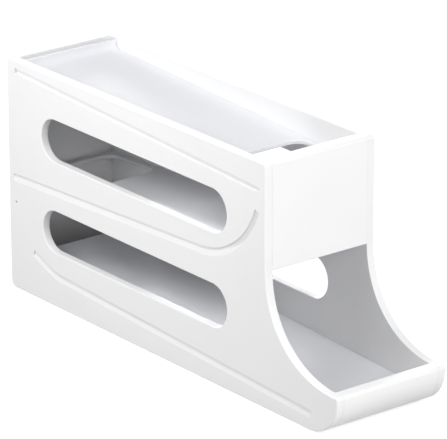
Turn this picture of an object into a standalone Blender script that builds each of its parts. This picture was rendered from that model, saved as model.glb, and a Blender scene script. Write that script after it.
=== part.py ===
"""Rolling egg dispenser: slotted plastic panels that hold three sloping egg boards.

Lengths are in metres. X runs from the back panel to the stop bar, Y from the near side
to the far side, Z up. The origin is on the floor under the middle of the whole part.
"""
import math

import bmesh
import bpy
from mathutils import Vector

# Driving dimensions of the whole
LENGTH = 0.3217
WIDTH = 0.0818
HEIGHT = 0.1511
BODY_LENGTH = 0.2559
EDGE_ROUND = 0.0020
FOOT_ROUND = 0.0045
FIT = 0.0003
OVERRUN = 0.0040

# Side panels
SIDE_WALL = 0.0053
OUTER_EDGE = 0.0008
INNER_EDGE = 0.0002
SWEEP_TOP = 0.0870
STOP_HEIGHT = 0.0272
NOSE_RUN = 0.0290
SQUARENESS = 2.17
WINDOW_HEIGHT = 0.0273
WINDOW_REAR = 0.0354
WINDOW_FRONT = 0.0361
WINDOW_FLARE = 0.0006
UPPER_SILL = 0.0160
LOWER_SILL = 0.0182
SLOT_DEPTH = 0.0022
GROOVE_WIDTH = 0.0028
GROOVE_DEPTH = 0.0012
GROOVE_LIFT = 0.0005
PIP_DIAMETER = 0.0020
PIP_DEPTH = 0.0012
PIP_FROM_BACK = 0.0073
PIP_HEIGHT = 0.0577

# Front, back and base panels
FRONT_WALL = 0.0050
FRONT_RIM = 0.0092
RIM_DROP = 0.0036
PANEL_EDGE = 0.0005
MOUTH_TOP = 0.0848
BACK_WALL = 0.0047
BACK_FOOT_SHARE = 0.96
BASE_WALL = 0.0034
TONGUE = 0.0020
TONGUE_INSET = 0.0080

# Stop bar across the mouth
STOP_RIM = 0.0089
STOP_LEDGE = 0.0060
STOP_TONGUE_LOW = 0.0130
STOP_TONGUE_HIGH = 0.0220

# Egg boards
BOARD = 0.0026
TOP_DEPTH = 0.0070
TOP_FALL = 0.0106
FLANGE_GAP = 0.0037
FLANGE_DROP = 0.0010
FLANGE_BEND = 0.0035
MIDDLE_HEIGHT = 0.0745
MIDDLE_RISE = 0.0077
HOOK_RUN = 0.0537
HOOK_HEADROOM = 0.0104
BOTTOM_HEIGHT = 0.0108
BOTTOM_FALL = 0.0102
SCOOP_GAP = 0.0206
SCOOP_RUN = 0.0226
SCOOP_RISE = 0.0088
SCOOP_BEND = 0.0450
DROP_LENGTH = 0.0480
DROP_MARGIN = 0.0045
DROP_RAIL = 0.0040
DROP_CORNER = 0.0080

# Fineness of the curved outlines
ARC_STEPS = 5
EDGE_STEPS = 3
SWEEP_STEPS = 14
HOOK_STEPS = 12
WINDOW_STEPS = 24
PIP_STEPS = 12
MITRE_LIMIT_SHARE = 0.2
SHARP_DEGREES = 32

# Colours of the white plastics
SIDE_COLOUR = (0.90, 0.90, 0.91)
PANEL_COLOUR = (0.91, 0.91, 0.92)
BOARD_COLOUR = (0.88, 0.88, 0.90)
SIDE_GLOSS = 0.32
PANEL_GLOSS = 0.28
BOARD_GLOSS = 0.36

# Planes that several pieces share
INNER_HALF = WIDTH / 2 - SIDE_WALL
SPAN_HALF = INNER_HALF - FIT
TONGUE_HALF = INNER_HALF + SLOT_DEPTH
FRONT_INSIDE = BODY_LENGTH - FRONT_WALL
BOARD_REAR = BACK_WALL + FIT
BOARD_FRONT = FRONT_INSIDE - FIT
STOP_REAR = LENGTH - NOSE_RUN
STOP_INSIDE = LENGTH - STOP_RIM


def clear_scene():
    for item in list(bpy.data.objects):
        bpy.data.objects.remove(item, do_unlink=True)


def plastic(name, colour, roughness):
    finish = bpy.data.materials.new(name)
    finish.use_nodes = True
    shader = finish.node_tree.nodes["Principled BSDF"]
    shader.inputs["Base Color"].default_value = (*colour, 1.0)
    shader.inputs["Roughness"].default_value = roughness
    shader.inputs["Metallic"].default_value = 0.0
    return finish


def arc_between(centre, start, end, steps):
    """Points of the shorter arc about centre from start to end."""
    first = math.atan2(start.y - centre.y, start.x - centre.x)
    turn = math.atan2(end.y - centre.y, end.x - centre.x) - first
    turn = (turn + math.pi) % (2 * math.pi) - math.pi
    radius = (start - centre).length
    angles = [first + turn * step / steps for step in range(steps + 1)]
    return [centre + Vector((math.cos(a), math.sin(a))) * radius for a in angles]


def rounded_corner(before, corner, after, radius, steps=ARC_STEPS):
    """Points of the fillet of the given radius at one corner of an outline."""
    back = (before - corner).normalized()
    ahead = (after - corner).normalized()
    half = back.angle(ahead) / 2
    reach = radius / math.tan(half)
    centre = corner + (back + ahead).normalized() * (radius / math.sin(half))
    return arc_between(centre, corner + back * reach, corner + ahead * reach, steps)


def rounded_outline(corners):
    """Closed outline from (x, z, radius) corners."""
    places = [Vector((x, z)) for x, z, radius in corners]
    points = []
    for index, (x, z, radius) in enumerate(corners):
        if radius == 0:
            points.append(places[index])
            continue
        after = places[(index + 1) % len(places)]
        points += rounded_corner(places[index - 1], places[index], after, radius)
    return points


def squared_quarter(start, end):
    """Quarter of a squared ellipse that leaves start upright and reaches end level."""
    points = []
    for step in range(SWEEP_STEPS + 1):
        angle = math.pi / 2 * step / SWEEP_STEPS
        across = 1 - max(math.cos(angle), 0.0) ** (2 / SQUARENESS)
        along = math.sin(angle) ** (2 / SQUARENESS)
        points.append(Vector((start.x + (end.x - start.x) * across,
                              start.y + (end.y - start.y) * along)))
    return points


def tangent_arc(start, direction, end, steps):
    """Points of the arc that leaves start along direction and passes through end."""
    chord = end - start
    normal = Vector((-direction.y, direction.x))
    centre = start + normal * (chord.length_squared / (2 * chord.dot(normal)))
    return arc_between(centre, start, end, steps)


def shifted(path, distance, closed=False):
    """The path moved sideways by distance, to its right when looking along it."""
    count = len(path)
    runs = [(path[(i + 1) % count] - path[i]).normalized() for i in range(count)]
    points = []
    for index, place in enumerate(path):
        before = runs[index - 1] if closed else runs[max(index - 1, 0)]
        after = runs[index] if closed else runs[min(index, count - 2)]
        middle = (before + after).normalized()
        right = Vector((middle.y, -middle.x))
        reach = distance / max(middle.dot(after), MITRE_LIMIT_SHARE)
        points.append(place + right * reach)
    return points


def stretched(path, extra):
    """The path with both ends lengthened by extra."""
    first = path[0] + (path[0] - path[1]).normalized() * extra
    last = path[-1] + (path[-1] - path[-2]).normalized() * extra
    return [first] + path[1:-1] + [last]


def band(path, above, below):
    """Closed outline of a strip that lies from above the path to below it."""
    return shifted(path, -above) + list(reversed(shifted(path, below)))


def add_rings(mesh, rings):
    """Closed skin over rings of places, with a face on the first and the last ring."""
    grown = [[mesh.verts.new(place) for place in ring] for ring in rings]
    count = len(grown[0])
    for ring, following in zip(grown, grown[1:]):
        for index in range(count):
            after = (index + 1) % count
            mesh.faces.new((ring[index], ring[after], following[after], following[index]))
    mesh.faces.new(grown[0])
    mesh.faces.new(grown[-1])


def add_prism(mesh, outline, low, high):
    """Closed prism of an XZ outline between two places along Y."""
    add_rings(mesh, [[(place.x, y, place.y) for place in outline] for y in (low, high)])


def add_box(mesh, low, high):
    corners = [(low[0], low[2]), (high[0], low[2]), (high[0], high[2]), (low[0], high[2])]
    add_prism(mesh, [Vector(corner) for corner in corners], low[1], high[1])


def finished_object(name, mesh, stand, finish=None):
    """Object of the mesh, standing on the shared empty."""
    bmesh.ops.recalc_face_normals(mesh, faces=mesh.faces)
    data = bpy.data.meshes.new(name)
    mesh.to_mesh(data)
    mesh.free()
    item = bpy.data.objects.new(name, data)
    item.parent = stand
    bpy.context.scene.collection.objects.link(item)
    if finish:
        data.materials.append(finish)
        data.shade_smooth()
        data.set_sharp_from_angle(angle=math.radians(SHARP_DEGREES))
    return item


def guide_object(name, mesh, stand):
    guide = finished_object(name, mesh, stand)
    guide.hide_render = True
    guide.display_type = "WIRE"
    return guide


def combine(item, guide, operation):
    step = item.modifiers.new(guide.name, "BOOLEAN")
    step.operation = operation
    step.object = guide
    step.solver = "EXACT"


def top_path():
    """Surface of the top board, from the tip of its rear flange to the front panel."""
    flange_front = BACK_WALL + FLANGE_GAP + BOARD
    tip = Vector((flange_front, HEIGHT - FLANGE_DROP))
    bend = Vector((flange_front, HEIGHT - TOP_DEPTH))
    front = Vector((BOARD_FRONT, HEIGHT - TOP_DEPTH - TOP_FALL))
    return [tip] + rounded_corner(tip, bend, front, FLANGE_BEND) + [front]


def top_slot_path():
    """The sloping part of the top board, back to the rear face of its flange."""
    path = top_path()
    front = path[-1]
    run = front - path[-2]
    rear_x = BACK_WALL + FLANGE_GAP
    rear = front + run * ((rear_x - front.x) / run.x)
    return [rear, front]


def middle_path():
    """Surface of the middle board, from the back panel to the tip of its hook."""
    rear = Vector((BOARD_REAR, MIDDLE_HEIGHT))
    hook = Vector((FRONT_INSIDE - BOARD - FIT - HOOK_RUN, MIDDLE_HEIGHT + MIDDLE_RISE))
    under_top = HEIGHT - TOP_DEPTH - TOP_FALL - BOARD
    tip = Vector((FRONT_INSIDE - BOARD - FIT, under_top - HOOK_HEADROOM))
    direction = (hook - rear).normalized()
    return [rear] + tangent_arc(hook, direction, tip, HOOK_STEPS)


def bottom_path():
    """Surface of the bottom board, from the tip of its scoop to the stop bar."""
    corner_x = BOARD_REAR + SCOOP_GAP + SCOOP_RUN
    corner = Vector((corner_x, BOTTOM_HEIGHT + BOTTOM_FALL))
    tip = Vector((corner_x - SCOOP_RUN, corner.y + SCOOP_RISE))
    front = Vector((STOP_REAR + STOP_LEDGE, BOTTOM_HEIGHT))
    return [tip] + rounded_corner(tip, corner, front, SCOOP_BEND) + [front]


def height_on(path, x):
    """Height of the path above the floor at one distance from the back."""
    for first, last in zip(path, path[1:]):
        if first.x <= x <= last.x:
            return first.y + (last.y - first.y) * (x - first.x) / (last.x - first.x)
    return path[-1].y


def tongue_seats():
    """Places (x from, x to, z from, z to) of the tongues of the four straight panels."""
    back_middle = BACK_WALL / 2
    front_middle = BODY_LENGTH - FRONT_WALL / 2
    stop_x = STOP_INSIDE + TONGUE
    return {
        "back": (back_middle - TONGUE / 2, back_middle + TONGUE / 2,
                 TONGUE_INSET, HEIGHT - TONGUE_INSET),
        "front": (front_middle - TONGUE / 2, front_middle + TONGUE / 2,
                  MOUTH_TOP + TONGUE_INSET, HEIGHT - TONGUE_INSET),
        "base": (BOARD_REAR + TONGUE_INSET, STOP_REAR - TONGUE_INSET,
                 BASE_WALL - TONGUE, BASE_WALL - FIT),
        "stop": (stop_x, stop_x + TONGUE, STOP_TONGUE_LOW, STOP_TONGUE_HIGH),
    }


def side_outline():
    """Outline of a side panel, round the body, the swept mouth and the nose."""
    foot = Vector((0, 0))
    top_rear = Vector((0, HEIGHT))
    top_front = Vector((BODY_LENGTH, HEIGHT))
    sweep_top = Vector((BODY_LENGTH, SWEEP_TOP))
    sweep_end = Vector((LENGTH - EDGE_ROUND, STOP_HEIGHT))
    nose_start = Vector((LENGTH, STOP_HEIGHT - EDGE_ROUND))
    nose_end = Vector((STOP_REAR, 0))
    tip_centre = Vector((LENGTH - EDGE_ROUND, STOP_HEIGHT - EDGE_ROUND))
    outline = rounded_corner(nose_end, foot, top_rear, FOOT_ROUND)
    outline += rounded_corner(foot, top_rear, top_front, EDGE_ROUND)
    outline += rounded_corner(top_rear, top_front, sweep_top, EDGE_ROUND)
    outline += squared_quarter(sweep_top, sweep_end)
    outline += arc_between(tip_centre, sweep_end, nose_start, ARC_STEPS)[1:-1]
    outline += squared_quarter(nose_start, nose_end)
    return outline


def window_outline(sill, grow):
    """Long window with round ends, its lower edge at the height of the sill."""
    radius = WINDOW_HEIGHT / 2 + grow
    middle = sill + WINDOW_HEIGHT / 2
    rear = WINDOW_REAR - grow
    front = BODY_LENGTH - WINDOW_FRONT + grow
    points = []
    for centre_x, start in ((rear + radius, math.pi / 2), (front - radius, -math.pi / 2)):
        for step in range(WINDOW_STEPS + 1):
            angle = start + math.pi * step / WINDOW_STEPS
            points.append(Vector((centre_x + math.cos(angle) * radius,
                                  middle + math.sin(angle) * radius)))
    return points


def window_sills():
    """Heights of the lower edges of both windows above the floor."""
    middle_x = (WINDOW_REAR + BODY_LENGTH - WINDOW_FRONT) / 2
    lower = height_on(bottom_path(), middle_x) + LOWER_SILL
    upper = height_on(middle_path(), middle_x) + UPPER_SILL
    return lower, upper


def add_flared_window(mesh, sill, side):
    """Window cutter that opens out at 45 degrees through both faces of the side panel."""
    flare = side * WINDOW_FLARE
    outer = side * (WIDTH / 2)
    inner = side * INNER_HALF
    places = [
        (outer + flare, 2 * WINDOW_FLARE),
        (outer - flare, 0),
        (inner + flare, 0),
        (inner - flare, 2 * WINDOW_FLARE),
    ]
    add_rings(mesh, [[(place.x, y, place.y) for place in window_outline(sill, grow)]
                     for y, grow in places])


def window_cutter(name, side, stand):
    mesh = bmesh.new()
    for sill in window_sills():
        add_flared_window(mesh, sill, side)
    return guide_object(name, mesh, stand)


def slot_cutter(name, side, stand):
    """Slots in the inner face for the edges of the boards and the tongues."""
    mesh = bmesh.new()
    open_end = side * (INNER_HALF - OVERRUN)
    deep_end = side * (TONGUE_HALF + FIT)
    for path in (top_slot_path(), middle_path(), bottom_path()):
        outline = band(stretched(path, FIT), FIT, BOARD + FIT)
        add_prism(mesh, outline, open_end, deep_end)
    for x_low, x_high, z_low, z_high in tongue_seats().values():
        add_box(mesh, (x_low - FIT, open_end, z_low - FIT), (x_high + FIT, deep_end, z_high + FIT))
    return guide_object(name, mesh, stand)


def groove_cutter(name, side, stand):
    """Shallow grooves in the outer face that follow the boards, and the moulding pip."""
    mesh = bmesh.new()
    outside = side * (WIDTH / 2 + OVERRUN)
    for path in (top_slot_path(), middle_path(), bottom_path()):
        outline = band(path, GROOVE_WIDTH / 2 + GROOVE_LIFT, GROOVE_WIDTH / 2 - GROOVE_LIFT)
        add_prism(mesh, outline, outside, side * (WIDTH / 2 - GROOVE_DEPTH))
    pip = Vector((PIP_FROM_BACK, PIP_HEIGHT))
    radius = PIP_DIAMETER / 2
    turns = [2 * math.pi * step / PIP_STEPS for step in range(PIP_STEPS)]
    circle = [pip + Vector((math.cos(turn), math.sin(turn))) * radius for turn in turns]
    add_prism(mesh, circle, outside, side * (WIDTH / 2 - PIP_DEPTH))
    return guide_object(name, mesh, stand)


def edge_profile(radius, steps):
    """Places (depth from the face, inset) of a quarter round, from the face inwards."""
    turns = [math.pi / 2 * step / steps for step in range(steps + 1)]
    return [(radius * (1 - math.cos(turn)), radius * (1 - math.sin(turn))) for turn in turns]


def side_panel(name, side, stand, finish):
    """Side wall with a rounded outer edge, two windows, board slots and grooves."""
    outline = side_outline()
    outer = side * (WIDTH / 2)
    inner = side * INNER_HALF
    places = [(outer - side * depth, inset) for depth, inset in edge_profile(OUTER_EDGE, EDGE_STEPS)]
    places += [(inner + side * INNER_EDGE, 0), (inner, INNER_EDGE)]
    mesh = bmesh.new()
    add_rings(mesh, [[(place.x, y, place.y) for place in shifted(outline, inset, closed=True)]
                     for y, inset in places])
    panel = finished_object(name, mesh, stand, finish)
    for make in (window_cutter, slot_cutter, groove_cutter):
        combine(panel, make(f"{name}_{make.__name__}", side, stand), "DIFFERENCE")
    return panel


def tongued_panel(name, outline, seat, stand, finish):
    """Panel of one section between the side panels, with a tongue into each of them."""
    mesh = bmesh.new()
    add_prism(mesh, outline, -SPAN_HALF, SPAN_HALF)
    panel = finished_object(name, mesh, stand, finish)
    x_low, x_high, z_low, z_high = tongue_seats()[seat]
    bar = bmesh.new()
    add_box(bar, (x_low, -TONGUE_HALF, z_low), (x_high, TONGUE_HALF, z_high))
    combine(panel, guide_object(f"{name}_tongues", bar, stand), "UNION")
    return panel


def front_panel(stand, finish):
    inside = BODY_LENGTH - FRONT_RIM
    outline = rounded_outline([
        (BODY_LENGTH, MOUTH_TOP, PANEL_EDGE),
        (BODY_LENGTH, HEIGHT, EDGE_ROUND),
        (inside, HEIGHT, PANEL_EDGE),
        (inside, HEIGHT - RIM_DROP, PANEL_EDGE),
        (FRONT_INSIDE, HEIGHT - RIM_DROP, PANEL_EDGE),
        (FRONT_INSIDE, MOUTH_TOP, PANEL_EDGE),
    ])
    return tongued_panel("front_panel", outline, "front", stand, finish)


def back_panel(stand, finish):
    outline = rounded_outline([
        (0, 0, min(FOOT_ROUND, BACK_WALL * BACK_FOOT_SHARE)),
        (BACK_WALL, 0, 0),
        (BACK_WALL, HEIGHT, PANEL_EDGE),
        (0, HEIGHT, EDGE_ROUND),
    ])
    return tongued_panel("back_panel", outline, "back", stand, finish)


def base_panel(stand, finish):
    rear = BACK_WALL + FIT
    front = STOP_REAR - FIT
    outline = rounded_outline([
        (rear, 0, 0),
        (front, 0, 0),
        (front, BASE_WALL, 0),
        (rear, BASE_WALL, 0),
    ])
    return tongued_panel("base_panel", outline, "base", stand, finish)


def front_stop(stand, finish):
    """Bar across the mouth: a nose like that of the sides, a top rim and a board ledge."""
    path = bottom_path()
    front = path[-1]
    slope = (front - path[-2]).normalized()
    ledge_end = front + slope * FIT
    fall = slope.y / slope.x
    under = BOARD + FIT
    nose_start = Vector((LENGTH, STOP_HEIGHT - EDGE_ROUND))
    top_front = Vector((LENGTH, STOP_HEIGHT))
    top_rear = Vector((STOP_INSIDE, STOP_HEIGHT))
    sill = Vector((STOP_INSIDE, ledge_end.y + fall * (STOP_INSIDE - ledge_end.x)))
    outline = squared_quarter(nose_start, Vector((STOP_REAR, 0)))
    outline.append(Vector((STOP_REAR, front.y + fall * (STOP_REAR - front.x) - under)))
    outline.append(Vector((ledge_end.x, ledge_end.y - under)))
    outline.append(ledge_end)
    outline += rounded_corner(ledge_end, sill, top_rear, EDGE_ROUND)
    outline += rounded_corner(sill, top_rear, top_front, PANEL_EDGE)
    outline += rounded_corner(top_rear, top_front, nose_start, EDGE_ROUND)[:-1]
    return tongued_panel("front_stop", outline, "stop", stand, finish)


def board_mesh(path, tongue_from):
    """Board under a path, with its edges reaching into the side slots.

    The tongues run from the given segment of the path to its front end.
    """
    mesh = bmesh.new()
    upper = path
    lower = shifted(path, BOARD)
    rows = []
    for y in (-SPAN_HALF, SPAN_HALF):
        for line in (upper, lower):
            rows.append([mesh.verts.new((place.x, y, place.y)) for place in line])
    near_top, near_under, far_top, far_under = rows
    sides = {-1: [], 1: []}
    for i in range(len(path) - 1):
        j = i + 1
        mesh.faces.new((near_top[i], near_top[j], far_top[j], far_top[i]))
        mesh.faces.new((near_under[i], far_under[i], far_under[j], near_under[j]))
        sides[-1].append(mesh.faces.new((near_top[i], near_under[i], near_under[j], near_top[j])))
        sides[1].append(mesh.faces.new((far_top[i], far_top[j], far_under[j], far_under[i])))
    for end in (0, -1):
        mesh.faces.new((near_top[end], far_top[end], far_under[end], near_under[end]))
    bmesh.ops.recalc_face_normals(mesh, faces=mesh.faces)
    for side, strip in sides.items():
        faces = strip[tongue_from:]
        grown = bmesh.ops.extrude_face_region(mesh, geom=faces)["geom"]
        bmesh.ops.delete(mesh, geom=faces, context="FACES")
        moved = [item for item in grown if isinstance(item, bmesh.types.BMVert)]
        bmesh.ops.translate(mesh, vec=(0, side * (TONGUE_HALF - SPAN_HALF), 0), verts=moved)
    return mesh


def drop_cutter(name, x_low, x_high, z_low, z_high, stand):
    """Upright cutter with rounded corners for the hole that an egg drops through."""
    half = INNER_HALF - DROP_RAIL
    outline = rounded_outline([
        (x_low, -half, DROP_CORNER),
        (x_high, -half, DROP_CORNER),
        (x_high, half, DROP_CORNER),
        (x_low, half, DROP_CORNER),
    ])
    mesh = bmesh.new()
    add_rings(mesh, [[(place.x, place.y, z) for place in outline] for z in (z_low, z_high)])
    return guide_object(name, mesh, stand)


def top_ramp(stand, finish):
    """Top board: rear flange, fall to the front and a drop hole behind the front panel."""
    path = top_path()
    bend = len(path) - 2
    board = finished_object("top_ramp", board_mesh(path, bend), stand, finish)
    front = path[-1]
    hole_front = front.x - DROP_MARGIN
    hole = drop_cutter("top_ramp_drop", hole_front - DROP_LENGTH, hole_front,
                       front.y - BOARD - OVERRUN, HEIGHT, stand)
    combine(board, hole, "DIFFERENCE")
    return board


def middle_ramp(stand, finish):
    """Middle board: hook behind the front panel, fall to the back and a rear drop hole."""
    path = middle_path()
    board = finished_object("middle_ramp", board_mesh(path, 0), stand, finish)
    rear = path[0]
    hole_rear = rear.x + DROP_MARGIN
    hole = drop_cutter("middle_ramp_drop", hole_rear, hole_rear + DROP_LENGTH,
                       rear.y - BOARD - OVERRUN, rear.y + MIDDLE_RISE + OVERRUN, stand)
    combine(board, hole, "DIFFERENCE")
    return board


def bottom_ramp(stand, finish):
    """Bottom board: scoop under the rear drop hole, then a fall to the stop bar."""
    return finished_object("bottom_ramp", board_mesh(bottom_path(), 0), stand, finish)


def build():
    clear_scene()
    stand = bpy.data.objects.new("stand", None)
    stand.location = (-LENGTH / 2, 0, 0)
    bpy.context.scene.collection.objects.link(stand)
    side_finish = plastic("side_plastic", SIDE_COLOUR, SIDE_GLOSS)
    panel_finish = plastic("panel_plastic", PANEL_COLOUR, PANEL_GLOSS)
    board_finish = plastic("board_plastic", BOARD_COLOUR, BOARD_GLOSS)
    side_panel("near_side_panel", -1, stand, side_finish)
    side_panel("far_side_panel", 1, stand, side_finish)
    for make in (front_panel, back_panel, base_panel, front_stop):
        make(stand, panel_finish)
    for make in (top_ramp, middle_ramp, bottom_ramp):
        make(stand, board_finish)
    bpy.context.view_layer.update()


build()
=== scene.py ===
"""Looks of the rolling egg dispenser: smooth moulded panels and boards around the CAD frame."""

import math
from collections import namedtuple

import bmesh
import bpy
from mathutils import Matrix, Vector


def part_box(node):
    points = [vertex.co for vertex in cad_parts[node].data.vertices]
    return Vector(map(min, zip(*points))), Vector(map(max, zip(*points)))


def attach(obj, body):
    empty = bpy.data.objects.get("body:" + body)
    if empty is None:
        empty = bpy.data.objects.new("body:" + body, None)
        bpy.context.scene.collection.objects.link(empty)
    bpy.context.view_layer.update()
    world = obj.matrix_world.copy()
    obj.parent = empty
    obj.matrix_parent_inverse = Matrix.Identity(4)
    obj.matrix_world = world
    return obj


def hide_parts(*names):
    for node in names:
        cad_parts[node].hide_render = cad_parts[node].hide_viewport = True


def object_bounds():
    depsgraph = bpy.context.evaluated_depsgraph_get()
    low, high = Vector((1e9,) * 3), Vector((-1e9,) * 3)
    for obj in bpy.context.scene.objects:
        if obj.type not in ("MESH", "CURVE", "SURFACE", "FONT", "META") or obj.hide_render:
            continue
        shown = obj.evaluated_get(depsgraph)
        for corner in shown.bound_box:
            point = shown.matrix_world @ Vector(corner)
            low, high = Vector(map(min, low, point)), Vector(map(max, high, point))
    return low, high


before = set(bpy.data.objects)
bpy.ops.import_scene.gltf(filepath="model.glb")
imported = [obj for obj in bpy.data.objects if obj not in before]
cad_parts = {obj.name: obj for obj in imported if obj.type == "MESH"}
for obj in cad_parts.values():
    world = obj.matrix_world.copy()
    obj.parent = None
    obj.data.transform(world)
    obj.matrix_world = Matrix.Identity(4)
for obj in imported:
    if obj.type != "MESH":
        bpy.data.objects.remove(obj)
cad_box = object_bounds()

Groove = namedtuple("Groove", "width step depth end slope_share floor_share")

# Sizes read from the frame
LOW, HIGH = cad_box
SIDE_LOW, SIDE_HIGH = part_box("near_side_panel")
FRONT_LOW, FRONT_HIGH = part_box("front_panel")
BACK_LOW, BACK_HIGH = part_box("back_panel")
BASE_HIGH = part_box("base_panel")[1]
STOP_LOW, STOP_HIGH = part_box("front_stop")
TOP_LOW, TOP_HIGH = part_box("top_ramp")
MIDDLE_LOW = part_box("middle_ramp")[0]
BOTTOM_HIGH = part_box("bottom_ramp")[1]
REAR = LOW.x
LENGTH = HIGH.x - LOW.x
WIDTH = HIGH.y - LOW.y
HEIGHT = HIGH.z
SIDE_WALL = SIDE_HIGH.y - SIDE_LOW.y
BODY_LENGTH = FRONT_HIGH.x - REAR
FRONT_RIM = FRONT_HIGH.x - FRONT_LOW.x
MOUTH_TOP = FRONT_LOW.z
BACK_WALL = BACK_HIGH.x - BACK_LOW.x
BASE_WALL = BASE_HIGH.z
NOSE_RUN = STOP_HIGH.x - STOP_LOW.x
STOP_HEIGHT = STOP_HIGH.z
TONGUE_HALF = TOP_HIGH.y
BOARD_FRONT = TOP_HIGH.x - REAR
BOARD_REAR = MIDDLE_LOW.x - REAR
FLANGE_REAR = TOP_LOW.x - REAR
FLANGE_TOP = TOP_HIGH.z
LEDGE_END = BOTTOM_HIGH.x - REAR

# Clearances: between faces, round what seats in a slot, of a rounded cutter at a face, and
# how far a cutter reaches past the material
GAP = 0.00004
SLOT_GAP = 0.0003
FACE_OVERLAP = 0.00001
OVERRUN = 0.0040

# Sizes of the mouldings that the boxes don't give
EDGE_ROUND = 0.0020
FOOT_ROUND = 0.0045
OUTER_EDGE = 0.0008
INNER_EDGE = 0.0001
SWEEP_TOP = 0.0870
SQUARENESS = 2.17
WINDOW_HEIGHT = 0.0273
WINDOW_REAR = 0.0354
WINDOW_FRONT = 0.0361
WINDOW_ROUND = 0.0006
UPPER_SILL = 0.0160
LOWER_SILL = 0.0182
PIP_RADIUS = 0.0010
PIP_DEPTH = 0.0012
PIP_PLACE = (0.0073, 0.0577)
FRONT_WALL = 0.0050
RIM_DROP = 0.0036
PANEL_EDGE = 0.0005
TONGUE = 0.0020
TONGUE_INSET = 0.0080
STOP_RIM = 0.0089
STOP_TONGUE_LOW = 0.0130
STOP_TONGUE_HIGH = 0.0220
BOARD = 0.0026
BOARD_EDGE = 0.0005
TOP_DEPTH = 0.0070
TOP_FALL = 0.0106
FLANGE_BEND = 0.0035
MIDDLE_HEIGHT = 0.0745
MIDDLE_RISE = 0.0077
HOOK_RUN = 0.0537
HOOK_HEADROOM = 0.0104
BOTTOM_HEIGHT = 0.0108
BOTTOM_FALL = 0.0102
SCOOP_GAP = 0.0206
SCOOP_RUN = 0.0226
SCOOP_RISE = 0.0088
SCOOP_BEND = 0.0450
DROP_LENGTH = 0.0480
DROP_MARGIN = 0.0045
DROP_RAIL = 0.0040
DROP_CORNER = 0.0080

# Largest rounding of the back panel's foot, as a share of its thickness
BACK_FOOT_SHARE = 0.96

# Half widths between the sides, and places along the length from the back
INNER_HALF = WIDTH / 2 - SIDE_WALL
SPAN_HALF = INNER_HALF - GAP
FRONT_INSIDE = BODY_LENGTH - FRONT_WALL
STOP_REAR = LENGTH - NOSE_RUN
STOP_INSIDE = LENGTH - STOP_RIM

# Outer grooves: width, depth of the step under the upper edge, depth of the floor, depth at
# the end of the ramp, and the shares of the width at which the slope and the floor end.
# GROOVE_LIFT is how far their upper edge lies above the surface of the board
TOP_GROOVE = Groove(0.0034, 0.0008, 0.0015, 0.0010, 0.80, 0.93)
MIDDLE_GROOVE = Groove(0.0048, 0.0006, 0.0008, 0.0001, 0.34, 0.40)
HOOK_GROOVE = Groove(0.0042, 0.0005, 0.0016, 0.0014, 0.85, 0.95)
BOTTOM_GROOVE = Groove(0.0048, 0.0003, 0.0008, 0.0001, 0.42, 0.54)
GROOVE_LIFT = 0.0018

# Shares of the hook's arc between which the middle groove turns into the hook's groove
HOOK_FROM_SHARE = 0.40
HOOK_TO_SHARE = 0.65

# Segments of round stretches, and the smallest cosine that a mitred corner is worked out for
ARC_STEPS = 10
SWEEP_STEPS = 40
HOOK_STEPS = 28
EDGE_STEPS = 7
FINE_STEPS = 3
ROUND_STEPS = 40
MITRE_LIMIT = 0.2

# Angles in degrees from which edges are rounded or stay sharp, and how much the large faces
# lead the normals
BEVEL_ANGLE = 50
SHARP_ANGLE = 38
SIDE_SHARP_ANGLE = 13.2
NORMAL_WEIGHT = 80

# Camera, from the vanishing lines and corners of the photograph, with its angles in degrees
PHOTO_WIDTH = 447
FOCAL_PIXELS = 4124
SENSOR = 36.0
CAMERA_PLACE = (1.8313, -1.4288, 0.9355)
CAMERA_HEADING = 141.98
CAMERA_TILT = 20.20
CAMERA_ROLL = -0.181

# Plastics: colour and roughness. The boards are the same white plastic as the panels; their
# darker, bluer colour is painted shade
PLASTICS = {
    "side_plastic": ((0.80, 0.80, 0.805), 0.34),
    "panel_plastic": ((0.81, 0.81, 0.815), 0.30),
    # painted shade: the white plastic made darker and blue-grey for the boards
    "board_plastic": ((0.70, 0.705, 0.73), 0.36),
}
PLASTIC_IOR = 1.49
SCATTER_SHARE = 0.12
SCATTER_RADIUS = (1.0, 0.9, 0.8)
SCATTER_SCALE = 0.002

# Noise in the plastics: its usual range, and for each use its scale, its detail and its effect
NOISE_LOW = 0.3
NOISE_HIGH = 0.7
TINT_SCALE = 22
TINT_DETAIL = 3
TINT_SHARE = 0.985
GLOSS_SCALE = 60
GLOSS_DETAIL = 4
GLOSS_BELOW = 0.02
GLOSS_ABOVE = 0.05
WAVE_SCALE = 35
WAVE_DETAIL = 1
WAVE_STRENGTH = 0.15
WAVE_HEIGHT = 0.0002

# Floor and world: the floor's glow grows with the distance from its middle
WHITE = (1.0, 1.0, 1.0, 1.0)
FLOOR_HALF = 6
FLOOR_DROP = 0.0002
FLOOR_GREY = 0.50
FLOOR_ROUGHNESS = 0.9
FLOOR_SPECULAR = 0.1
GLOW_NEAR = 0.71
GLOW_FAR = 0.90
GLOW_NEAR_REACH = 0.5
GLOW_FAR_REACH = 1.5
AMBIENT_LIGHT = 0.25

# Lamps: place, width and height, and power in watts
LAMPS = {
    "key": ((-0.30, -0.60, 0.75), (0.4, 0.4), 4.05),
    "strip": ((-0.06, -0.32, 0.31), (0.4, 0.1), 0.60),
    "front": ((1.18, -0.10, 0.73), (0.5, 0.5), 13.9),
    "fill": ((-0.75, 0.65, 0.12), (0.4, 0.4), 6.0),
}


def arc_between(centre, start, end, steps):
    """Points of the shorter arc about centre from start to end."""
    first = math.atan2(start.y - centre.y, start.x - centre.x)
    turn = math.atan2(end.y - centre.y, end.x - centre.x) - first
    turn = (turn + math.pi) % (2 * math.pi) - math.pi
    radius = (start - centre).length
    angles = [first + turn * step / steps for step in range(steps + 1)]
    return [centre + Vector((math.cos(a), math.sin(a))) * radius for a in angles]


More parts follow.
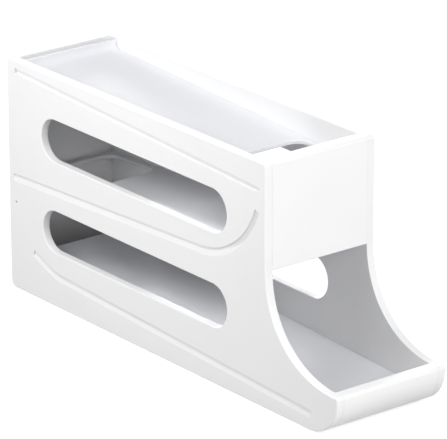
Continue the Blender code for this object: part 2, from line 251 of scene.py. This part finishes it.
def rounded_corner(before, corner, after, radius):
    """Points of the fillet of the given radius at one corner of an outline."""
    back = (before - corner).normalized()
    ahead = (after - corner).normalized()
    half = back.angle(ahead) / 2
    reach = radius / math.tan(half)
    centre = corner + (back + ahead).normalized() * (radius / math.sin(half))
    return arc_between(centre, corner + back * reach, corner + ahead * reach, ARC_STEPS)


def rounded_outline(corners):
    """Points of a closed outline from its (x, z, radius of the rounding) corners."""
    places = [Vector((x, z)) for x, z, radius in corners]
    points = []
    for index, (x, z, radius) in enumerate(corners):
        if radius == 0:
            points.append(places[index])
            continue
        after = places[(index + 1) % len(places)]
        points += rounded_corner(places[index - 1], places[index], after, radius)
    return points


def squared_quarter(start, end):
    """Quarter of a squared ellipse that leaves start upright and reaches end level."""
    points = []
    for step in range(SWEEP_STEPS + 1):
        angle = math.pi / 2 * step / SWEEP_STEPS
        across = 1 - max(math.cos(angle), 0.0) ** (2 / SQUARENESS)
        along = math.sin(angle) ** (2 / SQUARENESS)
        points.append(Vector((start.x + (end.x - start.x) * across,
                              start.y + (end.y - start.y) * along)))
    return points


def tangent_arc(start, direction, end, steps):
    """Points of the arc that leaves start along direction and passes through end."""
    chord = end - start
    normal = Vector((-direction.y, direction.x))
    centre = start + normal * (chord.length_squared / (2 * chord.dot(normal)))
    return arc_between(centre, start, end, steps)


def path_normals(path, closed=False):
    """Mitred normals to the right of a path, as long as the offset needs at each point."""
    count = len(path)
    runs = [(path[(i + 1) % count] - path[i]).normalized() for i in range(count)]
    normals = []
    for index in range(count):
        before = runs[index - 1] if closed else runs[max(index - 1, 0)]
        after = runs[index] if closed else runs[min(index, count - 2)]
        middle = (before + after).normalized()
        right = Vector((middle.y, -middle.x))
        normals.append(right / max(middle.dot(after), MITRE_LIMIT))
    return normals


def shifted(path, distance, closed=False):
    """The path moved sideways by distance, to its right when looking along it."""
    normals = path_normals(path, closed)
    return [place + normal * distance for place, normal in zip(path, normals)]


def stretched(path, extra):
    """The path with both ends lengthened by extra."""
    first = path[0] + (path[0] - path[1]).normalized() * extra
    last = path[-1] + (path[-1] - path[-2]).normalized() * extra
    return [first] + path[1:-1] + [last]


def band(path, above, below):
    """Closed outline of a strip that lies from above the path to below it."""
    return shifted(path, -above) + list(reversed(shifted(path, below)))


def top_path():
    """Surface of the top board, from the tip of its rear flange to the front panel."""
    flange_front = FLANGE_REAR + BOARD
    tip = Vector((flange_front, FLANGE_TOP))
    bend = Vector((flange_front, HEIGHT - TOP_DEPTH))
    front = Vector((BOARD_FRONT, HEIGHT - TOP_DEPTH - TOP_FALL))
    return [tip] + rounded_corner(tip, bend, front, FLANGE_BEND) + [front]


def top_slot_path():
    """The sloping part of the top board, back to the rear face of its flange."""
    path = top_path()
    front = path[-1]
    run = front - path[-2]
    rear = front + run * ((FLANGE_REAR - front.x) / run.x)
    return [rear, front]


def middle_path():
    """Surface of the middle board, from the back panel to the tip of its hook."""
    rear = Vector((BOARD_REAR, MIDDLE_HEIGHT))
    tip_x = FRONT_INSIDE - BOARD - SLOT_GAP
    hook = Vector((tip_x - HOOK_RUN, MIDDLE_HEIGHT + MIDDLE_RISE))
    tip = Vector((tip_x, HEIGHT - TOP_DEPTH - TOP_FALL - BOARD - HOOK_HEADROOM))
    return [rear] + tangent_arc(hook, (hook - rear).normalized(), tip, HOOK_STEPS)


def bottom_path():
    """Surface of the bottom board, from the tip of its scoop to the stop bar."""
    corner = Vector((BOARD_REAR + SCOOP_GAP + SCOOP_RUN, BOTTOM_HEIGHT + BOTTOM_FALL))
    tip = Vector((corner.x - SCOOP_RUN, corner.y + SCOOP_RISE))
    front = Vector((LEDGE_END, BOTTOM_HEIGHT))
    return [tip] + rounded_corner(tip, corner, front, SCOOP_BEND) + [front]


def height_on(path, x):
    """Height of the path above the floor at one distance from the back."""
    for first, last in zip(path, path[1:]):
        if first.x <= x <= last.x:
            return first.y + (last.y - first.y) * (x - first.x) / (last.x - first.x)
    return path[-1].y


def tongue_seats():
    """Places (x from, x to, z from, z to) of the tongues of the four straight panels."""
    back_middle = BACK_WALL / 2
    front_middle = BODY_LENGTH - FRONT_WALL / 2
    stop_x = STOP_INSIDE + TONGUE
    return {
        "back_panel": (back_middle - TONGUE / 2, back_middle + TONGUE / 2,
                       TONGUE_INSET, HEIGHT - TONGUE_INSET),
        "front_panel": (front_middle - TONGUE / 2, front_middle + TONGUE / 2,
                        MOUTH_TOP + TONGUE_INSET, HEIGHT - TONGUE_INSET),
        "base_panel": (BOARD_REAR + TONGUE_INSET, STOP_REAR - TONGUE_INSET,
                       BASE_WALL - TONGUE, BASE_WALL - SLOT_GAP),
        "front_stop": (stop_x, stop_x + TONGUE, STOP_TONGUE_LOW, STOP_TONGUE_HIGH),
    }


def side_outline():
    """Outline of a side panel, round the body, the swept mouth and the nose."""
    foot = Vector((0, 0))
    top_rear = Vector((0, HEIGHT))
    top_front = Vector((BODY_LENGTH, HEIGHT))
    sweep_top = Vector((BODY_LENGTH, SWEEP_TOP))
    sweep_end = Vector((LENGTH - EDGE_ROUND, STOP_HEIGHT))
    nose_start = Vector((LENGTH, STOP_HEIGHT - EDGE_ROUND))
    nose_end = Vector((STOP_REAR, 0))
    tip_centre = Vector((LENGTH - EDGE_ROUND, STOP_HEIGHT - EDGE_ROUND))
    outline = rounded_corner(nose_end, foot, top_rear, FOOT_ROUND)
    outline += rounded_corner(foot, top_rear, top_front, EDGE_ROUND)
    outline += rounded_corner(top_rear, top_front, sweep_top, EDGE_ROUND)
    outline += squared_quarter(sweep_top, sweep_end)
    outline += arc_between(tip_centre, sweep_end, nose_start, ARC_STEPS)[1:-1]
    outline += squared_quarter(nose_start, nose_end)
    return outline


def add_rings(mesh, rings):
    """Closed skin over rings of places, with a face on the first and the last ring."""
    grown = [[mesh.verts.new(place) for place in ring] for ring in rings]
    count = len(grown[0])
    for ring, following in zip(grown, grown[1:]):
        for index in range(count):
            after = (index + 1) % count
            mesh.faces.new((ring[index], ring[after], following[after], following[index]))
    mesh.faces.new(grown[0])
    mesh.faces.new(grown[-1])


def add_prism(mesh, outline, low, high):
    """Closed prism of an XZ outline between two places along Y."""
    add_rings(mesh, [[(p.x, y, p.y) for p in outline] for y in (low, high)])


def add_box(mesh, low, high):
    """Closed box between two opposite corners."""
    corners = [(low[0], low[2]), (high[0], low[2]), (high[0], high[2]), (low[0], high[2])]
    add_prism(mesh, [Vector(corner) for corner in corners], low[1], high[1])


def mesh_object(name, mesh):
    """Object of the mesh, moved so that its X runs from the back of the dispenser."""
    bmesh.ops.recalc_face_normals(mesh, faces=mesh.faces)
    data = bpy.data.meshes.new(name)
    mesh.to_mesh(data)
    mesh.free()
    data.transform(Matrix.Translation((REAR, 0, 0)))
    item = bpy.data.objects.new(name, data)
    bpy.context.scene.collection.objects.link(item)
    return item


def combine(item, mesh, operation):
    """Boolean of the item with a mesh, applied at once."""
    tool = mesh_object(item.name + "_tool", mesh)
    step = item.modifiers.new("cut", "BOOLEAN")
    step.operation = operation
    step.object = tool
    apply_modifiers(item)
    bpy.data.objects.remove(tool, do_unlink=True)


def apply_modifiers(item):
    """Replaces the item's mesh by what its modifiers make of it."""
    graph = bpy.context.evaluated_depsgraph_get()
    data = bpy.data.meshes.new_from_object(item.evaluated_get(graph))
    item.modifiers.clear()
    old = item.data
    item.data = data
    bpy.data.meshes.remove(old)


def soften(item, width, steps):
    """Rounds the sharp edges of the item."""
    edge = item.modifiers.new("soften", "BEVEL")
    edge.width = width
    edge.segments = steps
    edge.limit_method = "ANGLE"
    edge.angle_limit = math.radians(BEVEL_ANGLE)
    apply_modifiers(item)


def finish_piece(name, item, finish, sharp=SHARP_ANGLE):
    """Smooth shading and material, and hides the CAD node that the item stands for."""
    item.name = name + "_skin"
    item.data.materials.clear()
    item.data.materials.append(finish)
    item.data.shade_smooth()
    item.data.set_sharp_from_angle(angle=math.radians(sharp))
    even = item.modifiers.new("even_normals", "WEIGHTED_NORMAL")
    even.keep_sharp = True
    even.weight = NORMAL_WEIGHT
    apply_modifiers(item)
    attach(item, "root")
    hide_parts(name)


def edge_profile(radius, steps):
    """Places (depth from the face, inset) of a quarter round, from the face inwards."""
    turns = [math.pi / 2 * step / steps for step in range(steps + 1)]
    return [(radius * (1 - math.cos(t)), radius * (1 - math.sin(t))) for t in turns]


def side_body(side):
    """Side wall with a full rounding on its outer edge and a small one inside."""
    outline = side_outline()
    outer = side * WIDTH / 2
    inner = side * INNER_HALF
    rings = []
    for depth, inset in edge_profile(OUTER_EDGE, EDGE_STEPS):
        rings.append((outer - side * depth, inset))
    for depth, inset in reversed(edge_profile(INNER_EDGE, FINE_STEPS)):
        rings.append((inner + side * depth, inset))
    mesh = bmesh.new()
    add_rings(mesh, [[(p.x, y, p.y) for p in shifted(outline, inset, closed=True)]
                     for y, inset in rings])
    return mesh


def window_outline(sill, grow):
    """Long window with round ends, its lower edge at the height of the sill."""
    radius = WINDOW_HEIGHT / 2 + grow
    middle = sill + WINDOW_HEIGHT / 2
    rear = WINDOW_REAR - grow
    front = BODY_LENGTH - WINDOW_FRONT + grow
    points = []
    for centre_x, start in ((rear + radius, math.pi / 2), (front - radius, -math.pi / 2)):
        for step in range(ROUND_STEPS + 1):
            angle = start + math.pi * step / ROUND_STEPS
            points.append(Vector((centre_x + math.cos(angle) * radius,
                                  middle + math.sin(angle) * radius)))
    return points


def window_sills():
    """Heights of the lower edges of both windows above the floor."""
    middle_x = (WINDOW_REAR + BODY_LENGTH - WINDOW_FRONT) / 2
    lower = height_on(bottom_path(), middle_x) + LOWER_SILL
    upper = height_on(middle_path(), middle_x) + UPPER_SILL
    return lower, upper


def window_cutters(side):
    """Window cutters whose edges are rounded towards both faces of the side panel."""
    outer = side * WIDTH / 2
    inner = side * INNER_HALF
    mesh = bmesh.new()
    for sill in window_sills():
        rings = [(outer + side * OVERRUN, WINDOW_ROUND)]
        profile = edge_profile(WINDOW_ROUND, EDGE_STEPS)
        for depth, grow in profile:
            rings.append((outer - side * (depth - FACE_OVERLAP), grow))
        for depth, grow in reversed(profile):
            rings.append((inner + side * (depth - FACE_OVERLAP), grow))
        rings.append((inner - side * OVERRUN, WINDOW_ROUND))
        add_rings(mesh, [[(p.x, y, p.y) for p in window_outline(sill, grow)]
                         for y, grow in rings])
    return mesh


def slot_cutters(side):
    """Slots in the inner face for the edges of the boards and the tongues."""
    mesh = bmesh.new()
    open_end = side * (INNER_HALF - OVERRUN)
    deep_end = side * (TONGUE_HALF + SLOT_GAP)
    for path in (top_slot_path(), middle_path(), bottom_path()):
        outline = band(stretched(path, SLOT_GAP), GAP, BOARD + GAP)
        add_prism(mesh, outline, open_end, deep_end)
    for x_low, x_high, z_low, z_high in tongue_seats().values():
        add_box(mesh, (x_low - SLOT_GAP, open_end, z_low - SLOT_GAP),
                (x_high + SLOT_GAP, deep_end, z_high + SLOT_GAP))
    return mesh


def groove_section(groove):
    """Section (across, depth below the face) of a groove: a step, a slope, a floor, a ramp."""
    slope_end = groove.width * groove.slope_share
    floor_end = groove.width * groove.floor_share
    return [(0, -groove.depth), (0, groove.step), (slope_end, groove.depth),
            (floor_end, groove.depth), (groove.width, groove.end), (groove.width, -groove.depth)]


def between(first, last, share):
    """The groove whose values lie the given share of the way from the first to the last."""
    return Groove(*[low + (high - low) * share for low, high in zip(first, last)])


def groove_cutters(side):
    """Shallow grooves in the outer face that follow the boards, and the pip."""
    face = side * WIDTH / 2
    mesh = bmesh.new()
    grooves = ((top_slot_path(), TOP_GROOVE, TOP_GROOVE),
               (middle_path(), MIDDLE_GROOVE, HOOK_GROOVE),
               (bottom_path(), BOTTOM_GROOVE, BOTTOM_GROOVE))
    for path, straight, hooked in grooves:
        rings = []
        for index, (place, normal) in enumerate(zip(path, path_normals(path))):
            along = (index + 1 + HOOK_STEPS - len(path)) / HOOK_STEPS
            turn = (along - HOOK_FROM_SHARE) / (HOOK_TO_SHARE - HOOK_FROM_SHARE)
            groove = between(straight, hooked, min(max(turn, 0), 1))
            ring = []
            for across, below in groove_section(groove):
                spot = place + normal * (across - GROOVE_LIFT)
                ring.append((spot.x, face - side * below, spot.y))
            rings.append(ring)
        add_rings(mesh, rings)
    turns = [2 * math.pi * step / ROUND_STEPS for step in range(ROUND_STEPS)]
    pip = [Vector(PIP_PLACE) + Vector((math.cos(t), math.sin(t))) * PIP_RADIUS for t in turns]
    add_prism(mesh, pip, face + side * OVERRUN, face - side * PIP_DEPTH)
    return mesh


def side_panel(name, side, finish):
    """Side wall with its windows, slots and grooves; side is -1 for near and 1 for far."""
    item = mesh_object(name, side_body(side))
    for cutters in (window_cutters, slot_cutters, groove_cutters):
        combine(item, cutters(side), "DIFFERENCE")
    finish_piece(name, item, finish, SIDE_SHARP_ANGLE)


def tongued_panel(name, outline, finish):
    """Panel of one section between the side panels, with a tongue into each of them."""
    mesh = bmesh.new()
    rings = [(-SPAN_HALF + depth, inset) for depth, inset in edge_profile(GAP, FINE_STEPS)]
    rings += [(-y, inset) for y, inset in reversed(rings)]
    add_rings(mesh, [[(p.x, y, p.y) for p in shifted(outline, -inset, closed=True)]
                     for y, inset in rings])
    item = mesh_object(name, mesh)
    x_low, x_high, z_low, z_high = tongue_seats()[name]
    bar = bmesh.new()
    add_box(bar, (x_low, -TONGUE_HALF, z_low), (x_high, TONGUE_HALF, z_high))
    combine(item, bar, "UNION")
    finish_piece(name, item, finish)


def front_panel(finish):
    """Board above the mouth, with a rim that stands inwards along its top."""
    inside = BODY_LENGTH - FRONT_RIM
    outline = rounded_outline([
        (BODY_LENGTH, MOUTH_TOP, PANEL_EDGE),
        (BODY_LENGTH, HEIGHT, EDGE_ROUND),
        (inside, HEIGHT, PANEL_EDGE),
        (inside, HEIGHT - RIM_DROP, PANEL_EDGE),
        (FRONT_INSIDE, HEIGHT - RIM_DROP, PANEL_EDGE),
        (FRONT_INSIDE, MOUTH_TOP, PANEL_EDGE),
    ])
    tongued_panel("front_panel", outline, finish)


def back_panel(finish):
    """Full height board at the back, rounded at its foot like the sides."""
    outline = rounded_outline([
        (0, 0, min(FOOT_ROUND, BACK_WALL * BACK_FOOT_SHARE)),
        (BACK_WALL, 0, 0),
        (BACK_WALL, HEIGHT, PANEL_EDGE),
        (0, HEIGHT, EDGE_ROUND),
    ])
    tongued_panel("back_panel", outline, finish)


def base_panel(finish):
    """Board that closes the box underneath, from the back panel to the stop bar."""
    rear = BACK_WALL + SLOT_GAP
    front = STOP_REAR - SLOT_GAP
    outline = rounded_outline([
        (rear, 0, INNER_EDGE),
        (front, 0, INNER_EDGE),
        (front, BASE_WALL, INNER_EDGE),
        (rear, BASE_WALL, INNER_EDGE),
    ])
    tongued_panel("base_panel", outline, finish)


def front_stop(finish):
    """Bar across the mouth: a nose like that of the sides, a top rim and a board ledge."""
    path = bottom_path()
    front = path[-1]
    slope = (front - path[-2]).normalized()
    ledge_end = front + slope * SLOT_GAP
    fall = slope.y / slope.x
    under = BOARD + SLOT_GAP
    nose_start = Vector((LENGTH, STOP_HEIGHT - EDGE_ROUND))
    top_front = Vector((LENGTH, STOP_HEIGHT))
    top_rear = Vector((STOP_INSIDE, STOP_HEIGHT))
    sill = Vector((STOP_INSIDE, ledge_end.y + fall * (STOP_INSIDE - ledge_end.x)))
    outline = squared_quarter(nose_start, Vector((STOP_REAR, 0)))
    outline.append(Vector((STOP_REAR, front.y + fall * (STOP_REAR - front.x) - under)))
    outline.append(Vector((ledge_end.x, ledge_end.y - under)))
    outline.append(ledge_end)
    outline += rounded_corner(ledge_end, sill, top_rear, EDGE_ROUND)
    outline += rounded_corner(sill, top_rear, top_front, PANEL_EDGE)
    outline += rounded_corner(top_rear, top_front, nose_start, EDGE_ROUND)[:-1]
    outline.reverse()
    tongued_panel("front_stop", outline, finish)


def board_mesh(path, tongue_from):
    """Board under a path, with its edges reaching into the side slots.

    The tongues run from the given point of the path to its front end.
    """
    mesh = bmesh.new()
    lines = (path, shifted(path, BOARD))

    def rows(y, start):
        return [[mesh.verts.new((p.x, y, p.y)) for p in line[start:]] for line in lines]

    def add_strip(first, last):
        for i in range(len(first) - 1):
            mesh.faces.new((first[i], first[i + 1], last[i + 1], last[i]))

    near = rows(-SPAN_HALF, 0)
    far = rows(SPAN_HALF, 0)
    for near_row, far_row in zip(near, far):
        add_strip(near_row, far_row)
    for end in (0, -1):
        mesh.faces.new((near[0][end], far[0][end], far[1][end], near[1][end]))
    for side, (upper, lower) in ((-1, near), (1, far)):
        outer_upper, outer_lower = rows(side * TONGUE_HALF, tongue_from)
        add_strip(upper[:tongue_from + 1], lower[:tongue_from + 1])
        add_strip(upper[tongue_from:], outer_upper)
        add_strip(outer_upper, outer_lower)
        add_strip(outer_lower, lower[tongue_from:])
        for end, outer_end in ((tongue_from, 0), (-1, -1)):
            mesh.faces.new((upper[end], outer_upper[outer_end], outer_lower[outer_end],
                            lower[end]))
    return mesh


def drop_cutter(x_low, x_high, z_low, z_high):
    """Upright cutter with rounded corners for the hole that an egg drops through."""
    half = INNER_HALF - DROP_RAIL
    outline = rounded_outline([
        (x_low, -half, DROP_CORNER),
        (x_high, -half, DROP_CORNER),
        (x_high, half, DROP_CORNER),
        (x_low, half, DROP_CORNER),
    ])
    mesh = bmesh.new()
    add_rings(mesh, [[(p.x, p.y, z) for p in outline] for z in (z_low, z_high)])
    return mesh


def egg_board(name, path, tongue_from, hole, finish):
    """Board with softened edges and, where its (x, x, z, z) is given, a drop hole."""
    item = mesh_object(name, board_mesh(path, tongue_from))
    if hole:
        combine(item, drop_cutter(*hole), "DIFFERENCE")
    soften(item, BOARD_EDGE, FINE_STEPS)
    finish_piece(name, item, finish)


def top_ramp(finish):
    """Loading board with a flange at the back, its drop hole at the front."""
    path = top_path()
    front = path[-1]
    hole_front = front.x - DROP_MARGIN
    hole = (hole_front - DROP_LENGTH, hole_front, front.y - BOARD - OVERRUN, HEIGHT)
    egg_board("top_ramp", path, len(path) - 2, hole, finish)


def middle_ramp(finish):
    """Board that falls to the back, its drop hole at the back and its hook at the front."""
    path = middle_path()
    rear = path[0]
    hole_rear = rear.x + DROP_MARGIN
    hole = (hole_rear, hole_rear + DROP_LENGTH, rear.y - BOARD - OVERRUN,
            rear.y + MIDDLE_RISE + OVERRUN)
    egg_board("middle_ramp", path, 0, hole, finish)


def bottom_ramp(finish):
    """Board with a scoop at the back that falls to the stop bar."""
    egg_board("bottom_ramp", bottom_path(), 0, None, finish)


def remap(nodes, links, value, source, target):
    """The value moved from the source range to the target range."""
    item = nodes.new("ShaderNodeMapRange")
    item.inputs["From Min"].default_value = source[0]
    item.inputs["From Max"].default_value = source[1]
    item.inputs["To Min"].default_value = target[0]
    item.inputs["To Max"].default_value = target[1]
    links.new(value, item.inputs["Value"])
    return item.outputs["Result"]


def combined(nodes, links, operation, first, second):
    """Result of a sum, product or other operation on two node outputs."""
    item = nodes.new("ShaderNodeMath")
    item.operation = operation
    links.new(first, item.inputs[0])
    links.new(second, item.inputs[1])
    return item.outputs[0]


def seen_ray(nodes, links):
    """1 for camera, glossy and transmission rays, and 0 for the rest."""
    ray = nodes.new("ShaderNodeLightPath").outputs
    seen = combined(nodes, links, "MAXIMUM", ray["Is Camera Ray"], ray["Is Glossy Ray"])
    return combined(nodes, links, "MAXIMUM", seen, ray["Is Transmission Ray"])


def moulded_plastic(name, colour, roughness):
    """White moulded plastic: a faintly uneven tint and gloss, and slight waves."""
    finish = bpy.data.materials.new(name)
    finish.use_nodes = True
    nodes = finish.node_tree.nodes
    links = finish.node_tree.links
    shader = nodes["Principled BSDF"]
    shader.inputs["IOR"].default_value = PLASTIC_IOR
    shader.inputs["Subsurface Weight"].default_value = SCATTER_SHARE
    shader.inputs["Subsurface Radius"].default_value = SCATTER_RADIUS
    shader.inputs["Subsurface Scale"].default_value = SCATTER_SCALE
    place = nodes.new("ShaderNodeTexCoord")

    def noise(scale, detail):
        item = nodes.new("ShaderNodeTexNoise")
        item.inputs["Scale"].default_value = scale
        item.inputs["Detail"].default_value = detail
        links.new(place.outputs["Object"], item.inputs["Vector"])
        return item.outputs["Fac"]

    def spread(value, low, high):
        return remap(nodes, links, value, (NOISE_LOW, NOISE_HIGH), (low, high))

    tint = nodes.new("ShaderNodeMix")
    tint.data_type = "RGBA"
    tint.inputs["A"].default_value = (*colour, 1.0)
    tint.inputs["B"].default_value = (*[value * TINT_SHARE for value in colour], 1.0)
    links.new(spread(noise(TINT_SCALE, TINT_DETAIL), 0, 1), tint.inputs["Factor"])
    links.new(tint.outputs["Result"], shader.inputs["Base Color"])
    gloss = noise(GLOSS_SCALE, GLOSS_DETAIL)
    gloss = spread(gloss, roughness - GLOSS_BELOW, roughness + GLOSS_ABOVE)
    links.new(gloss, shader.inputs["Roughness"])

    waves = nodes.new("ShaderNodeBump")
    waves.inputs["Strength"].default_value = WAVE_STRENGTH
    waves.inputs["Distance"].default_value = WAVE_HEIGHT
    links.new(noise(WAVE_SCALE, WAVE_DETAIL), waves.inputs["Height"])
    links.new(waves.outputs["Normal"], shader.inputs["Normal"])
    return finish


def make_floor():
    """Pale floor that keeps the shadow and reads as white where the light reaches it."""
    mesh = bmesh.new()
    bmesh.ops.create_grid(mesh, x_segments=1, y_segments=1, size=FLOOR_HALF)
    data = bpy.data.meshes.new("floor")
    mesh.to_mesh(data)
    mesh.free()
    floor = bpy.data.objects.new("floor", data)
    floor.location.z = -FLOOR_DROP
    bpy.context.scene.collection.objects.link(floor)
    finish = bpy.data.materials.new("floor")
    finish.use_nodes = True
    nodes = finish.node_tree.nodes
    links = finish.node_tree.links
    shader = nodes["Principled BSDF"]
    shader.inputs["Base Color"].default_value = (FLOOR_GREY, FLOOR_GREY, FLOOR_GREY, 1.0)
    shader.inputs["Roughness"].default_value = FLOOR_ROUGHNESS
    shader.inputs["Specular IOR Level"].default_value = FLOOR_SPECULAR
    shader.inputs["Emission Color"].default_value = WHITE
    place = nodes.new("ShaderNodeTexCoord")
    away = nodes.new("ShaderNodeVectorMath")
    away.operation = "LENGTH"
    links.new(place.outputs["Object"], away.inputs[0])
    reach = (GLOW_NEAR_REACH, GLOW_FAR_REACH)
    glow = remap(nodes, links, away.outputs["Value"], reach, (GLOW_NEAR, GLOW_FAR))
    glow = combined(nodes, links, "MULTIPLY", seen_ray(nodes, links), glow)
    links.new(glow, shader.inputs["Emission Strength"])
    data.materials.append(finish)


def make_world():
    """White backdrop for the rays that see it, dimmer light for the rest."""
    world = bpy.data.worlds.new("studio")
    bpy.context.scene.world = world
    world.use_nodes = True
    nodes = world.node_tree.nodes
    links = world.node_tree.links
    background = nodes["Background"]
    background.inputs["Color"].default_value = WHITE
    ambient = nodes.new("ShaderNodeMath")
    ambient.operation = "MAXIMUM"
    links.new(seen_ray(nodes, links), ambient.inputs[0])
    ambient.inputs[1].default_value = AMBIENT_LIGHT
    links.new(ambient.outputs[0], background.inputs["Strength"])


def make_lamp(name, place, size, power):
    """Soft box of the given size that looks at the middle of the dispenser."""
    data = bpy.data.lights.new(name, "AREA")
    data.shape = "RECTANGLE"
    data.size = size[0]
    data.size_y = size[1]
    data.energy = power
    lamp = bpy.data.objects.new(name, data)
    lamp.location = place
    aim = Vector((0, 0, HEIGHT / 2)) - Vector(place)
    lamp.rotation_euler = aim.to_track_quat("-Z", "Y").to_euler()
    bpy.context.scene.collection.objects.link(lamp)


def make_camera():
    """Camera at the place, heading and lens worked out from the photograph."""
    heading = math.radians(CAMERA_HEADING)
    tilt = math.radians(CAMERA_TILT)
    roll = math.radians(CAMERA_ROLL)
    forward = Vector((math.cos(heading) * math.cos(tilt), math.sin(heading) * math.cos(tilt),
                      -math.sin(tilt)))
    right = forward.cross(Vector((0, 0, 1))).normalized()
    up = right.cross(forward)
    across = right * math.cos(roll) + up * math.sin(roll)
    above = up * math.cos(roll) - right * math.sin(roll)
    data = bpy.data.cameras.new("camera")
    data.sensor_fit = "HORIZONTAL"
    data.sensor_width = SENSOR
    data.lens = SENSOR * FOCAL_PIXELS / PHOTO_WIDTH
    camera = bpy.data.objects.new("camera", data)
    turn = Matrix((across, above, -forward)).transposed().to_4x4()
    camera.matrix_world = Matrix.Translation(CAMERA_PLACE) @ turn
    bpy.context.scene.collection.objects.link(camera)
    bpy.context.scene.camera = camera


def main():
    """Builds the pieces around the frame, then the floor, the light and the camera."""
    finishes = {name: moulded_plastic(name, *look) for name, look in PLASTICS.items()}
    side_panel("near_side_panel", -1, finishes["side_plastic"])
    side_panel("far_side_panel", 1, finishes["side_plastic"])
    for make in (front_panel, back_panel, base_panel, front_stop):
        make(finishes["panel_plastic"])
    for make in (top_ramp, middle_ramp, bottom_ramp):
        make(finishes["board_plastic"])
    make_floor()
    make_world()
    for name, (place, size, power) in LAMPS.items():
        make_lamp(name, place, size, power)
    make_camera()
    bpy.context.scene.view_settings.view_transform = "Standard"


main()
